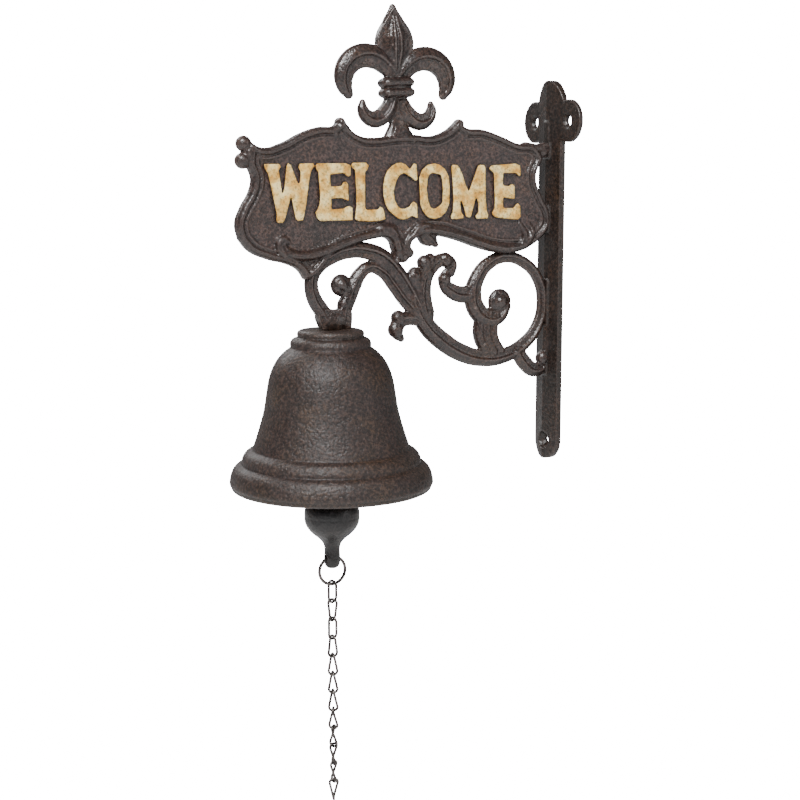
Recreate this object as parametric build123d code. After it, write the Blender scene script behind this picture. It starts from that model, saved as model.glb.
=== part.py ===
from build123d import *
import math
import os

# A cast iron bell on a wall bracket. One casting carries the wall bar, a name board with a lily finial
# and the scroll arm below it. The bell is clamped under the end of the arm, and a clapper with a pull
# ring and a twisted link chain hangs inside it.
# Millimetres. The wall is the plane X = 0 and the bracket stands out from it towards -X. The board lies in
# the plane Y = 0. Z is up, from 3 mm above the two upper screw holes.

# Wall bar
BAR_WIDTH = 23.0
BAR_EDGE = 3.5
BAR_RIDGE = 6.0
BAR_BOTTOM = -198.0
EAR_SPACING = 34.5
EAR_RADIUS = 11.9
EAR_Z = -3.0
SCREW_HOLE = 5.0
SCREW_HEAD = 10.0
LOW_SCREW_Z = -187.0

# Name board and scrolls
BOARD_FIELD = 5.0
BOARD_RIM = 8.0
SCROLL_THICK = 8.0
LEAF_THICK = 7.0
MOULDING_THICK = 9.5
LETTER_PROUD = 2.0
# The plain slab letters of the greeting, each as its outline in (x, z)
LETTER_W = [
    (-180.5, -27.3), (-172, -27.2), (-171, -28.6), (-172.3, -30.5), (-170.2, -43.9), (-169, -39),
    (-167.8, -28.4), (-166.9, -26.7), (-165.5, -27.7), (-161.3, -37.8), (-160.2, -36.6), (-159.8, -31.4),
    (-161, -29.3), (-160.4, -27), (-152.7, -26.8), (-151.9, -28.2), (-153.9, -30.8), (-154.8, -34.2),
    (-156.9, -48.3), (-158.7, -56.5), (-161.9, -56.9), (-163, -55.3), (-165.4, -43.4), (-169, -55.6),
    (-170.1, -57.6), (-173, -57.8), (-173.8, -56.4), (-173.6, -53), (-176.9, -37.5), (-178.2, -32.4),
    (-179.8, -29.9),
]
LETTER_E = [
    (-150.4, -26.9), (-134, -26.7), (-131, -27.8), (-131, -33.1), (-132.2, -33.9), (-135.4, -31.8),
    (-143.1, -32.8), (-142.6, -39.1), (-136.3, -38.7), (-135.2, -36.8), (-133.9, -36.4), (-132.5, -37.6),
    (-132.2, -46.6), (-136.3, -45.1), (-142.4, -45.2), (-142.3, -51.1), (-135.2, -50.7), (-133.4, -49.7),
    (-131.7, -49.3), (-130, -50.2), (-129.9, -56.9), (-149, -57.1), (-150.7, -55.3), (-151.5, -52.7),
    (-150.1, -50.6), (-149.1, -48.2), (-148.7, -44), (-149.7, -31.5), (-151, -29.7), (-151.2, -27.9),
]
LETTER_L = [
    (-129.8, -26.5), (-121.8, -26.4), (-120.3, -27.9), (-120.9, -30), (-122.4, -31.4), (-122.5, -50.2),
    (-121.6, -51.5), (-114.7, -51.4), (-113.5, -49.9), (-112, -50.5), (-111.1, -52.3), (-110.3, -56.6),
    (-113.2, -57.4), (-118.6, -57.7), (-126.4, -57.4), (-128.5, -56.4), (-127.5, -49.2), (-127.6, -41.2),
    (-128.3, -30.2), (-130.1, -29.1), (-130.4, -27.6),
]
LETTER_C = [
    (-100.5, -26.4), (-98, -27.3), (-95.9, -29.4), (-95, -29.7), (-92.8, -26.7), (-91.4, -27.2),
    (-90.8, -35.8), (-92.2, -36.1), (-94.1, -34.5), (-99, -31.8), (-101.7, -33.2), (-103.5, -35.7),
    (-104.7, -39.4), (-105.3, -42.1), (-104.6, -46.4), (-102.9, -49.6), (-101.1, -51), (-98.6, -51.2),
    (-95.6, -50.1), (-94.3, -48.2), (-92.8, -47.4), (-91, -48.8), (-90.6, -56.4), (-94.3, -55),
    (-96.5, -56.4), (-99.2, -57.1), (-102.3, -56.4), (-105.3, -54.5), (-108.4, -51.8), (-110.2, -48.6),
    (-111.3, -44.3), (-111.5, -39.5), (-110.8, -34.7), (-109, -30.7), (-106.2, -28), (-103.2, -26.6),
]
LETTER_O = [
    (-80.5, -26.7), (-77.1, -27.4), (-73.9, -29.5), (-71.4, -33.7), (-70.6, -40.7), (-71, -49),
    (-72.9, -53.1), (-76.3, -56.1), (-80.4, -57.1), (-84.4, -55.8), (-87.2, -52.8), (-88.8, -49),
    (-89.6, -34.4), (-87.9, -30.4), (-84.5, -27.6),
]
EYE_OF_O = [
    (-83, -32.5), (-80.8, -31.9), (-76.2, -32.9), (-75.3, -35.9), (-74.8, -41.9), (-75.1, -47.9),
    (-76.7, -49.8), (-80.1, -51.5), (-82.6, -50.6), (-84.2, -46.8), (-85, -40.9), (-84.5, -35.5),
    (-84, -33.6),
]
LETTER_M = [
    (-68.9, -27.6), (-66.1, -27.5), (-64.8, -28.7), (-62.6, -33), (-60.6, -38.5), (-58.4, -42.3),
    (-52.7, -28.2), (-51.5, -27.4), (-48.9, -27.6), (-48, -29), (-47.7, -46.1), (-47, -52.7), (-46, -55.2),
    (-46.3, -57.2), (-53.4, -57.2), (-54.1, -55.8), (-52.2, -53.6), (-52.2, -48.9), (-53.2, -45.8),
    (-54.3, -46.4), (-57, -55.8), (-58.3, -56.6), (-60.2, -55.8), (-61.3, -51.1), (-63.8, -45.9),
    (-63.9, -48.9), (-63.4, -53.3), (-61.9, -55.3), (-62.1, -56.8), (-64.9, -57.2), (-69.4, -57.2),
    (-69.7, -55.5), (-68.5, -53.3), (-68.2, -46.2), (-68.6, -38), (-69.6, -28.7),
]
LAST_E = [
    (-44, -27.8), (-28.4, -26.7), (-25.4, -27.8), (-25, -33.4), (-26, -33.7), (-27.7, -32), (-36.5, -32),
    (-36.6, -38.2), (-35.5, -39.1), (-32.5, -39.3), (-31.5, -38.5), (-30.2, -38.2), (-28.9, -39.3),
    (-28.8, -46.5), (-36.4, -45.5), (-36.3, -51.5), (-29.4, -51.6), (-27.4, -49.3), (-26.5, -48.9),
    (-25.1, -50.5), (-24.7, -56.6), (-26.3, -58), (-30, -57.8), (-40.5, -56.8), (-42.8, -55.5),
    (-43.4, -54.1), (-41.8, -51.6), (-41.6, -46.1), (-42.4, -32.2), (-45.6, -29.5),
]

# Finial
FINIAL_X = -100.4
FINIAL_THICK = 9.0
FINIAL_LEAN = -3.0
FINIAL_DROP = 2.4

# Bell
BELL_X = -141.5
CROWN_Z = -115.3
BELL_HEIGHT = 87.5
ROOF = 5.8
STUD_RADIUS = 3.0
STUD_HOLE = 3.15

# Clapper, ring and chain
EYE_RADIUS = 4.5
EYE_WIRE = 1.5
EYE_Z = CROWN_Z - 21.0
SWING_Z = EYE_Z - EYE_RADIUS
HOOK_WIRE = 1.2
HOOK_BOW = EYE_WIRE + HOOK_WIRE + 0.1
SWAY_Z = SWING_Z - 20.0
BALL_RADIUS = 15.2
BALL_Z = CROWN_Z - BELL_HEIGHT - 15.7
TAIL_Z = BALL_Z - 23.3
TAIL_HOLE = 2.1
RING_RADIUS = 7.75
RING_WIRE = 0.9
LINK_WIRE = 0.75
LINK_HALF_WIDTH = 2.9
LINK_HALF_HEIGHT = 6.05
LINK_GAP = 0.1
LINK_TURNS = (-41, -21, -42, -62, -75, -80, -82, -95, -115, -148, -138, -172)


def flat(points):
    """Points given as (x, z), on the middle plane of the board."""
    return [(p[0], 0, p[1]) for p in points]


def slab(edges, thickness):
    """A plate of even thickness about the middle plane, from its closed outline."""
    return extrude(make_face(Wire(edges)), amount=thickness / 2, both=True)


def polygon(points, thickness):
    """A plate with straight sides."""
    return slab(Polyline(*flat(points), close=True).edges(), thickness)


def disc(x, z, radius, thickness):
    """A round boss through the middle plane."""
    return Pos(x, 0, z) * Rot(90, 0, 0) * Cylinder(radius, thickness)


def outline(*runs):
    """A closed outline of smooth runs that meet at corners."""
    edges = []
    for i, run in enumerate(runs):
        joined = list(run) + [runs[(i + 1) % len(runs)][0]]
        edges.append(Spline(*flat(joined)) if len(joined) > 2 else Line(*flat(joined)))
    return edges


def scroll(path, thickness=SCROLL_THICK):
    """A tapering bar with round ends. The path gives x, z and half width along its middle."""
    left, right = [], []
    for i, (x, z, half) in enumerate(path):
        x0, z0, _ = path[max(i - 1, 0)]
        x1, z1, _ = path[min(i + 1, len(path) - 1)]
        run = math.hypot(x1 - x0, z1 - z0)
        nx, nz = (z0 - z1) / run, (x1 - x0) / run
        left.append((x + nx * half, z + nz * half))
        right.append((x - nx * half, z - nz * half))
    ends = []
    for (x, z, half), (xn, zn, _) in ((path[-1], path[-2]), (path[0], path[1])):
        run = math.hypot(x - xn, z - zn)
        ends.append((x + (x - xn) / run * half * 0.9, z + (z - zn) / run * half * 0.9))
    edges = [
        Spline(*flat(left)),
        ThreePointArc(*flat([left[-1], ends[0], right[-1]])),
        Spline(*flat(reversed(right))),
        ThreePointArc(*flat([right[0], ends[1], left[0]])),
    ]
    return slab(edges, thickness)


def screw_hole(y, z):
    """A through hole with a countersink in the front face of the bar."""
    depth = (SCREW_HEAD - SCREW_HOLE) / 2
    hole = Pos(-5, y, z) * Rot(0, 90, 0) * Cylinder(SCREW_HOLE / 2, 20)
    sink = Pos(-BAR_EDGE - 0.4 + depth / 2, y, z) * Rot(0, 90, 0)
    cone = sink * Cone(SCREW_HEAD / 2, SCREW_HOLE / 2, depth)
    mouth = Pos(-BAR_EDGE - 0.4 - 4, y, z) * Rot(0, 90, 0) * Cylinder(SCREW_HEAD / 2, 8)
    return hole + cone + mouth


def wall_bar():
    """The flat-backed bar, its front face falling from a middle ridge to thinner edges."""
    half = BAR_WIDTH / 2
    ear = EAR_SPACING / 2
    face = [
        (0, -30), (0, 30), (-2.6, 30), (-BAR_EDGE, half), (-BAR_RIDGE, 0), (-BAR_EDGE, -half), (-2.6, -30),
    ]
    body = extrude(make_face(Polyline(*face, close=True)), amount=240)
    body = Pos(0, 0, -210) * body
    length = 8 - BAR_BOTTOM - half
    shape = Pos(-5, 0, 8 - length / 2) * Box(20, BAR_WIDTH - 5, length)
    shape += Pos(-5, 0, (BAR_BOTTOM + half - 8) / 2) * Box(20, BAR_WIDTH, -BAR_BOTTOM - half - 8)
    shape += Pos(-5, 0, BAR_BOTTOM + half) * Rot(0, 90, 0) * Cylinder(half, 20)
    for y in (-ear, ear):
        shape += Pos(-5, y, EAR_Z) * Rot(0, 90, 0) * Cylinder(EAR_RADIUS, 20)
    crest = [(-5, -14.5, 2), (-5, -13, 8.5), (-5, -9.6, 14.8), (-5, -5, 18.8), (-5, 0, 20), (-5, 5, 18.8),
             (-5, 9.6, 14.8), (-5, 13, 8.5), (-5, 14.5, 2)]
    top = make_face([Spline(*crest), Line(crest[-1], crest[0])])
    shape += extrude(top, amount=10, both=True)
    bar = body & shape
    for y, z in ((-ear, EAR_Z), (ear, EAR_Z), (0, LOW_SCREW_Z)):
        bar -= screw_hole(y, z)
    web = polygon([(-4, -1), (-6.2, -3), (-11, -18), (-4, -20)], 5)
    return bar + web


def board():
    """The name board: a thin field inside a raised rim, with corner curls and a moulding below."""
    left_top = [(-187, -16), (-180.5, -19), (-169.5, -16.5), (-158, -11), (-148, -8), (-139, -7.2)]
    left_leaf = [(-134.5, -3), (-131, -8), (-124.5, -12.3), (-116, -13.3), (-104, -12)]
    right_leaf = [(-90, -11.5), (-82, -12.2), (-73, -9.7), (-67.5, -6.2)]
    right_top = [(-64, -2.8), (-60.5, -6.8), (-48, -8.3), (-37, -11.6), (-26, -15.6), (-15, -17)]
    right_side = [(-9.5, -24), (-14, -34), (-10, -45), (-4.6, -54.5), (-4.6, -62), (-11, -69.5)]
    low_right = [(-20, -75), (-40.5, -74), (-63, -67.5), (-78, -63.8), (-91, -66)]
    low_mid = [(-95, -76), (-99, -76), (-103, -69), (-109, -64.5)]
    low_left = [(-117, -66), (-138, -73), (-153, -87)]
    foot_leaf = [(-157, -88), (-160.5, -83), (-167, -79.6), (-178.5, -76.6), (-188.6, -72)]
    left_side = [(-193.8, -66), (-195.3, -58), (-192.5, -50), (-187.5, -41.5), (-186, -35), (-188.5, -27)]
    plate = slab(
        outline(
            left_top, left_leaf, right_leaf, right_top, right_side, low_right, low_mid, low_left, foot_leaf,
            left_side,
        ),
        BOARD_RIM,
    )
    field_top = [(-185, -23.5), (-177, -24.5), (-167, -21.5), (-157, -16), (-147, -12.8)]
    field_dip = [(-135.5, -12), (-128, -16.5), (-117, -18.4), (-98.5, -17.6), (-81, -17), (-72, -14.5)]
    field_end = [(-64, -9), (-56, -11.5), (-47, -12.8), (-36, -16.4), (-25, -20.3)]
    field_right = [(-16, -22), (-18.5, -34), (-14.5, -46), (-9, -55.5), (-9.5, -62)]
    field_low = [(-18, -69.5), (-40.5, -72), (-63, -65.5), (-84, -61.5)]
    field_mid = [(-97, -70), (-110, -62.5), (-128, -65.5), (-148, -72.3)]
    field_left = [
        (-166, -73.5), (-180, -71.5), (-189, -65), (-190.8, -58), (-188, -51.5), (-182, -41.5), (-181, -32),
    ]
    field = outline(field_top, field_dip, field_end, field_right, field_low, field_mid, field_left)
    pocket = slab(field, 2 * BOARD_RIM)
    core = slab(field, BOARD_FIELD)
    plate = plate - pocket + core
    for x, z, radius in ((-190.2, -16.8, 4.2), (-190.8, -25.6, 4.3)):
        plate += disc(x, z, radius, BOARD_RIM)
    plate += scroll([(-20, -17, 2.6), (-12, -18.2, 2.6), (-6.5, -17.6, 2.6), (-5, -21.5, 2.4)])
    return plate


def moulding():
    """The raised double curve along the lower edge of the board, with its leaves and pendant."""
    left = [
        (-167.5, -66.5, 1.6), (-169.3, -70.5, 2.4), (-165, -74.4, 3), (-157, -75.3, 3), (-148, -73.8, 3),
        (-138, -70.6, 2.8), (-127.5, -67.2, 2.6), (-117, -64.9, 2.6), (-109, -64.4, 2.6), (-104, -67.5, 2.6),
        (-101.5, -73, 2.8),
    ]
    right = [
        (-95.5, -75, 2.4), (-96.3, -70, 2.4), (-92, -65.3, 2.6), (-84.5, -63.2, 2.6), (-74, -64.4, 2.6),
        (-63, -67.1, 2.6), (-52, -70.6, 2.8), (-40.5, -73.6, 2.8), (-29, -74.2, 2.8), (-20, -71, 2.6),
        (-19, -65, 1.6),
    ]
    shape = scroll(left, MOULDING_THICK) + scroll(right, MOULDING_THICK)
    shape += scroll([(-85, -64.5, 3.5), (-80.5, -68, 3.2), (-77, -71.5, 1.2)], LEAF_THICK)
    for x, z, radius in ((-101.2, -75.2, 3.1), (-94.8, -75.2, 3.1), (-98, -76.8, 2.6)):
        shape += disc(x, z, radius, MOULDING_THICK)
    return shape


def arm():
    """The scroll arm: a C scroll over the bell foot, and a sweep that rolls up into the ring by the bar."""
    c_band = [
        (-143.4, -110.6, 4.3), (-147, -105, 4.3), (-150.6, -99.6, 4.1), (-152.6, -93.5, 3.8),
        (-152.4, -87.5, 3.7), (-149, -81.5, 4),
        (-141.4, -76.2, 4.4), (-130.5, -73, 4.6), (-120, -73.6, 4.6), (-111, -78.4, 4.2), (-102, -86.6, 3.8),
        (-94.5, -96, 3.6), (-88, -106, 3.8),
    ]
    branch = [
        (-134.4, -110.6, 4.2), (-133, -104.5, 4), (-130.6, -98.5, 4.2), (-127.6, -92, 4.1),
        (-124.2, -86.4, 3.7), (-118.5, -82.6, 3.3),
        (-110.6, -85.4, 3.1), (-104, -92.8, 3.1), (-97, -101.6, 3.2), (-89.5, -109, 3.2),
    ]
    sweep = [
        (-92, -100, 3.4), (-88.6, -107.4, 4.6), (-82.6, -116.6, 5.2), (-73, -125.2, 5.4), (-61, -132.4, 5.2),
        (-47.5, -136.4, 4.8), (-33.5, -136, 4.4), (-20.5, -130.5, 3.9), (-10.5, -120, 3.5), (-7, -105.5, 3.3),
        (-11, -91, 3.3), (-20.5, -82.3, 3.3), (-32, -79.2, 3.3), (-43, -82.4, 3.8), (-50.5, -90.4, 4.4),
        (-53.3, -100, 5), (-51, -108.3, 5.4), (-44.5, -113.4, 5.2), (-37, -112.6, 5), (-32.8, -107.4, 4.4),
    ]
    shape = scroll(c_band) + scroll(branch) + scroll(sweep)
    foot = [(-148, CROWN_Z), (-130, CROWN_Z), (-129.4, -107), (-136, -103.5), (-144, -104), (-150, -106)]
    shape += polygon(foot, 10)
    shape += disc(-135.2, -91.8, 6.2, SCROLL_THICK)
    shape += scroll([(-133, -93, 3.6), (-131.5, -97.5, 3.6), (-134, -103, 3.6)])
    shape += disc(-35.8, -104.4, 7.4, SCROLL_THICK)
    return shape


def leaves():
    """Leaf sprays that grow from the arm, and the curl that meets the foot of the ring on the bar."""
    shape = scroll(
        [(-87, -113, 3.6), (-93.2, -111.8, 3.8), (-98.6, -112.4, 4.2), (-101.6, -116, 4.2), (-101, -120, 3.6),
         (-98.8, -122.6, 2.2)],
        LEAF_THICK,
    )
    shape += scroll(
        [(-83, -110, 5), (-85, -103, 5.2), (-85.4, -96.5, 5), (-83.8, -89.5, 4.4), (-79.4, -83.2, 4),
         (-72.8, -79.8, 3.8), (-67.2, -82.2, 3.4), (-67.5, -87, 2.8)],
        LEAF_THICK,
    )
    shape += scroll([(-86, -96, 3.2), (-90, -91.4, 4.2), (-90.4, -87, 4.2)], LEAF_THICK)
    shape += scroll([(-82, -87.6, 3.4), (-83.6, -82.6, 3.9), (-80.8, -79.2, 3.6)], LEAF_THICK)
    shape += scroll(
        [(-67.5, -85.5, 2.6), (-71.4, -88.6, 2.8), (-71.6, -93, 3.6), (-67, -97.4, 4.4), (-60.5, -99.6, 4.8),
         (-54, -99, 4.8)],
        LEAF_THICK,
    )
    cup = [(-43.5, -111.5, 7.2), (-45, -118, 7.8), (-44.4, -125, 8), (-40.5, -132.5, 7)]
    shape += scroll(cup, LEAF_THICK)
    shape += scroll(
        [(-24, -133, 4.2), (-18.6, -140.6, 4.6), (-12.4, -145, 4.4), (-6.4, -143.6, 3.6), (-4.6, -139.5, 3)],
        LEAF_THICK,
    )
    return shape + disc(-6, -138.6, 4.2, LEAF_THICK)


def finial():
    """A lily: a ridged spear, two hooked petals, a double ring and two small petals on a stem. The right
    petals hang a little lower than the left ones."""
    x = FINIAL_X
    spear_left = [(x, 59.6), (x - 5.6, 50), (x - 10.8, 40.5), (x - 10.6, 33)]
    spear_right = [(x, 18), (x + 10.6, 33), (x + 10.8, 40.5), (x + 5.6, 50)]
    shape = slab(outline(spear_left, spear_right), FINIAL_THICK)
    for side in (-1, 1):
        drop = FINIAL_DROP * (side + 1) / 2
        petal = [
            (1.5, 21, 4.4), (6, 26, 5.5), (12.4, 30, 6.3), (20.4, 30.7, 6.5), (27.6, 27, 6.2),
            (30.9, 20.8, 5.5), (30.5, 15, 4.4), (28.6, 11.2, 2.9),
        ]
        shape += scroll([(x + side * px, pz - drop, half) for px, pz, half in petal], FINIAL_THICK)
        small = [
            (3, 8, 3.8), (6.4, 1.6, 4.6), (13, -2.6, 4.8), (18.8, -0.6, 3.8), (20.8, 3.4, 3),
            (20.6, 6.6, 1.8),
        ]
        shape += scroll([(x + side * px, pz - drop, half) for px, pz, half in small], FINIAL_THICK)
    stem = [(x - 3.6, 10), (x + 3.6, 10), (x + 5.2, -5), (x + 10.5, -14), (x - 10.5, -14), (x - 5.2, -5)]
    shape += polygon(stem, FINIAL_THICK)
    shape += Pos(x, 0, 14.5) * extrude(Ellipse(9.6, 5), amount=5, both=True)
    for z in (17.4, 11.8):
        hoop = extrude(Ellipse(11.2, 6.2), amount=2.4, both=True)
        shape += Pos(x, 0, z) * chamfer(hoop.edges(), 1)
    return Pos(x, 0, -12) * Rot(0, FINIAL_LEAN, 0) * Pos(-x, 0, 12) * shape


def bracket_casting():
    """The whole iron casting."""
    body = wall_bar()
    for part in (board(), moulding(), arm(), leaves(), finial()):
        body += part
    bore = Pos(BELL_X, 0, CROWN_Z) * Cylinder(STUD_RADIUS, 20)
    return body - bore


def lettering(side):
    """The raised greeting on one face of the board, reading left to right from that side."""
    letters = []
    for outline_points in (LETTER_W, LETTER_E, LETTER_L, LETTER_C, LETTER_O, LETTER_M, LAST_E):
        face = make_face(Polyline(*outline_points, close=True))
        if outline_points is LETTER_O:
            face -= make_face(Polyline(*EYE_OF_O, close=True))
        letters.append(Pos(0, -BOARD_FIELD / 2, 0) * Rot(90, 0, 0) * extrude(face, amount=LETTER_PROUD))
    if side > 0:
        middle = (min(LETTER_W)[0] + max(LAST_E)[0]) / 2
        letters = [Pos(middle, 0, 0) * Rot(0, 0, 180) * Pos(-middle, 0, 0) * solid for solid in letters]
    return Compound(children=[piece for solid in letters for piece in solid.solids()])


def bell():
    """The bell: a flat stepped crown, a round shoulder, a long waist and two bands above a flared lip."""
    crown = [(16.4, 0), (18.3, 1.2), (18.7, 3.2), (20.2, 4.4), (21.9, 6.2), (22.2, 9), (23.4, 10.4)]
    shoulder = [(23.4, 10.4), (29.4, 16.4), (33.1, 24.2), (34.9, 32.4), (36.3, 42), (39, 52), (43.1, 64.7)]
    inner = [(51.2, BELL_HEIGHT), (49.3, 80), (42.9, 69.8), (37.2, 56), (33, 43.7), (30.8, 30.4), (27.7, 21),
             (21.5, 12.8)]
    roof = [(21.5, 12.8), (13.7, ROOF), (STUD_HOLE, ROOF), (STUD_HOLE, 0), (16.4, 0)]

    def down(points):
        return [(r, 0, -depth) for r, depth in points]

    edges = [
        Polyline(*down(crown)),
        Spline(*down(shoulder)),
        ThreePointArc(*down([(43.1, 64.7), (47.6, 67.4), (49.3, 72.4)])),
        Line(*down([(49.3, 72.4), (50.8, 73)])),
        ThreePointArc(*down([(50.8, 73), (54.6, 77.2), (55.9, 83)])),
        ThreePointArc(*down([(55.9, 83), (55.5, 86.3), (53, BELL_HEIGHT)])),
        Line(*down([(53, BELL_HEIGHT), (51.2, BELL_HEIGHT)])),
        Spline(*down(inner)),
        Polyline(*down(roof)),
    ]
    profile = make_face(Wire([edge for line in edges for edge in line.edges()]))
    return Pos(BELL_X, 0, CROWN_Z) * revolve(profile, Axis.Z, 360)


def ring(radius, wire):
    """A closed wire ring that stands in the plane of the board."""
    return Rot(90, 0, 0) * Torus(radius, wire)


def hanger_eye_bolt():
    """The stud that holds the bell to the foot of the arm, with the clapper's eye below the nut."""
    top = CROWN_Z + 10
    eye_top = EYE_Z + EYE_RADIUS
    stud = Pos(BELL_X, 0, (top + eye_top) / 2) * Cylinder(STUD_RADIUS, top - eye_top)
    eye = Pos(BELL_X, 0, EYE_Z) * Rot(0, 0, 90) * ring(EYE_RADIUS, EYE_WIRE)
    return stud + eye


def bell_washer():
    """The washer between the nut and the crown."""
    washer = extrude(Circle(9) - Circle(STUD_HOLE), amount=1.2)
    return Pos(BELL_X, 0, CROWN_Z - ROOF - 1.2) * washer


def bell_nut():
    """The nut that clamps the crown against the foot of the arm."""
    nut = extrude(RegularPolygon(5.8, 6) - Circle(STUD_HOLE - 0.1), amount=5)
    return Pos(BELL_X, 0, CROWN_Z - ROOF - 1.2 - 5) * nut


def wire_loop(path, radius):
    """Round wire bent along a closed path."""
    start = Plane(path @ 0, z_dir=path % 0)
    return sweep(start * Circle(radius), path=path)


def clapper_hook():
    """The long closed hook between the eye and the clapper, in the plane of the board."""
    bow = HOOK_BOW
    length = SWING_Z - SWAY_Z - bow
    path = Wire([
        Line((-bow, 0, -length), (-bow, 0, 0)),
        ThreePointArc((-bow, 0, 0), (0, 0, bow), (bow, 0, 0)),
        Line((bow, 0, 0), (bow, 0, -length)),
        ThreePointArc((bow, 0, -length), (0, 0, -length - bow), (-bow, 0, -length)),
    ])
    return Pos(BELL_X, 0, SWING_Z) * wire_loop(path, HOOK_WIRE)


def clapper():
    """The clapper: a flat lug with a hole, a round shank, the ball and a drilled tail, all one casting."""
    top = SWAY_Z - BALL_Z
    profile = [
        (0, top - 6), (4, top - 9), (4, 22), (5.4, 17.5), (8, 13.8), (12.4, 8.8), (BALL_RADIUS, 0),
        (13.2, -7),
        (10.4, -10), (6.9, -13), (5, -15.6), (4.3, -20), (4.5, -25.5), (3.6, -28.4), (0, -29.3),
    ]
    points = [(r, 0, z) for r, z in profile]
    edges = Polyline(*points[:3]).edges() + Spline(*points[2:7]).edges()
    edges += Spline(*points[6:]).edges() + Line(points[-1], points[0]).edges()
    body = revolve(make_face(Wire(edges)), Axis.Z, 360)
    lug = Pos(0, 0, top - 3.5) * Box(2.2, 6.8, 7) + Pos(0, 0, top) * Rot(0, 90, 0) * Cylinder(3.4, 2.2)
    lug -= Pos(0, 0, top + 0.1) * Rot(0, 90, 0) * Cylinder(1.9, 8)
    tail = Pos(0, 0, TAIL_Z - BALL_Z - 0.35) * Rot(0, 90, 0) * Cylinder(TAIL_HOLE, 14)
    return Pos(BELL_X, 0, BALL_Z) * (body + lug - tail)


def pull_ring():
    """The wire ring through the clapper's tail."""
    return Pos(BELL_X, 0, TAIL_Z - RING_RADIUS) * ring(RING_RADIUS, RING_WIRE)


def link(top_z, turn):
    """One chain wire link, its lower bow a quarter turn from its upper one. top_z is its upper wire."""
    w, h = LINK_HALF_WIDTH, LINK_HALF_HEIGHT
    corners = [(w, 0, h), (0, w, -h), (0, -w, -h), (-w, 0, h)]
    path = FilletPolyline(*corners, close=True, radius=2.2)
    runs = [sweep(Plane(edge @ 0, z_dir=edge % 0) * Circle(LINK_WIRE), path=edge) for edge in path.edges()]
    return Pos(BELL_X, 0, top_z - h) * Rot(0, 0, turn) * runs[0].fuse(*runs[1:])


def chain():
    """The links from the ring down, each hung on the lower wire of the one above."""
    links = {}
    hung_on = TAIL_Z - 2 * RING_RADIUS
    wire = RING_WIRE
    for number, turn in enumerate(LINK_TURNS, 1):
        top_z = hung_on + wire + LINK_WIRE + LINK_GAP
        links["chain_link_%02d" % number] = link(top_z, turn - 28)
        hung_on = top_z - 2 * LINK_HALF_HEIGHT
        wire = LINK_WIRE
    return links


os.makedirs("parts", exist_ok=True)
pieces = {
    "bracket_casting": bracket_casting(),
    "lettering_front": lettering(-1),
    "lettering_back": lettering(1),
    "bell": bell(),
    "hanger_eye_bolt": hanger_eye_bolt(),
    "bell_washer": bell_washer(),
    "bell_nut": bell_nut(),
    "clapper_hook": clapper_hook(),
    "clapper": clapper(),
    "pull_ring": pull_ring(),
}
pieces.update(chain())
for name, shape in pieces.items():
    export_step(shape, "parts/" + name + ".step")
    print(name, round(shape.volume), [round(v, 2) for v in shape.bounding_box().size])
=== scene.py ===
import math

import bmesh
import bpy
from mathutils import Matrix, Vector


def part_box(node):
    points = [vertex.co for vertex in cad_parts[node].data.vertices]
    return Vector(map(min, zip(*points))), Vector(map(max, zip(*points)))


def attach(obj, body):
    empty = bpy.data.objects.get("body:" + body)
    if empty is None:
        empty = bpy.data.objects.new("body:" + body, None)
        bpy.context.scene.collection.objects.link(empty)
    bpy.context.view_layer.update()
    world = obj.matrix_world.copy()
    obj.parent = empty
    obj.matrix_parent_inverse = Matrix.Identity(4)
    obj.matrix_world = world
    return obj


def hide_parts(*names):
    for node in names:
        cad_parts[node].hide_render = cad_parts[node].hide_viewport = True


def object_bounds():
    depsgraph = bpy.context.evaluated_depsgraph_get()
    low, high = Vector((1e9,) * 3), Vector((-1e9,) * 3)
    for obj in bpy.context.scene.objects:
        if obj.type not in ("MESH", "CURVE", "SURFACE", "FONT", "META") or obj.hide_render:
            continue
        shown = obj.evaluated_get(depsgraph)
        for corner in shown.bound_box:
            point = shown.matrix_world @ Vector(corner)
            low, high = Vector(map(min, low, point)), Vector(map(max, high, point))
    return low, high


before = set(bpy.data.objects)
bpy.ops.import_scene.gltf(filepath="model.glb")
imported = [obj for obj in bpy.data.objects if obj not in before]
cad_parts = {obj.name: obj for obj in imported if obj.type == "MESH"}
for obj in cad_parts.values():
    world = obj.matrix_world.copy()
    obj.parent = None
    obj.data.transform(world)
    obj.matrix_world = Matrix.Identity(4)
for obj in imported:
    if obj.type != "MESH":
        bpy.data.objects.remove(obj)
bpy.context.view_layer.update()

# A cast iron bell on a wall bracket: the wall bar, the name board with its lily finial, the scroll arm, the
# painted greeting, and the bell with its clapper, ring and link chain.
MM = 0.001

# How finely each casting is run together, in millimetres
BOARD_GRAIN = 0.6
FINIAL_GRAIN = 0.45
ARM_GRAIN = 0.5
BAR_GRAIN = 0.6
LETTER_GRAIN = 0.42

# Half depths, in millimetres
FIELD_HALF = 2.5
MOULDING_HALF = 6
CURL_HALF = 5.4
LEAF_HALF = 3.5
CUP_LEAF_HALF = 3.6
PETAL_HALF = 4.6
SMALL_PETAL_HALF = 4.4
SPEAR_HALF = 6
HOOP_HALF = 6.4

PETAL_DROP = 2.4
CROWN_Z = -115.3
BAR_FRONT = -6.4
STUD_HOLE = 3.15
BELL_STEPS = 128
LINKS = 12

# The studio: lengths in metres, the camera's target in millimetres, angles in degrees
FLOOR_GAP = 0.012
FLOOR_SIZE = 6
PAPER_GLOW = 20.0
STUDIO_LIGHT = 0.2
LIT_POINT = (-0.1, 0, -0.1)
CAMERA_TARGET = (-99.4, 0, -157)
CAMERA_TURN = -27
CAMERA_RISE = 8.7
CAMERA_DISTANCE = 0.836
CAMERA_LENS = 67.5


# ---- Paths and outlines, in millimetres as (x, z) or (x, z, half width) on the middle plane ----

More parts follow.
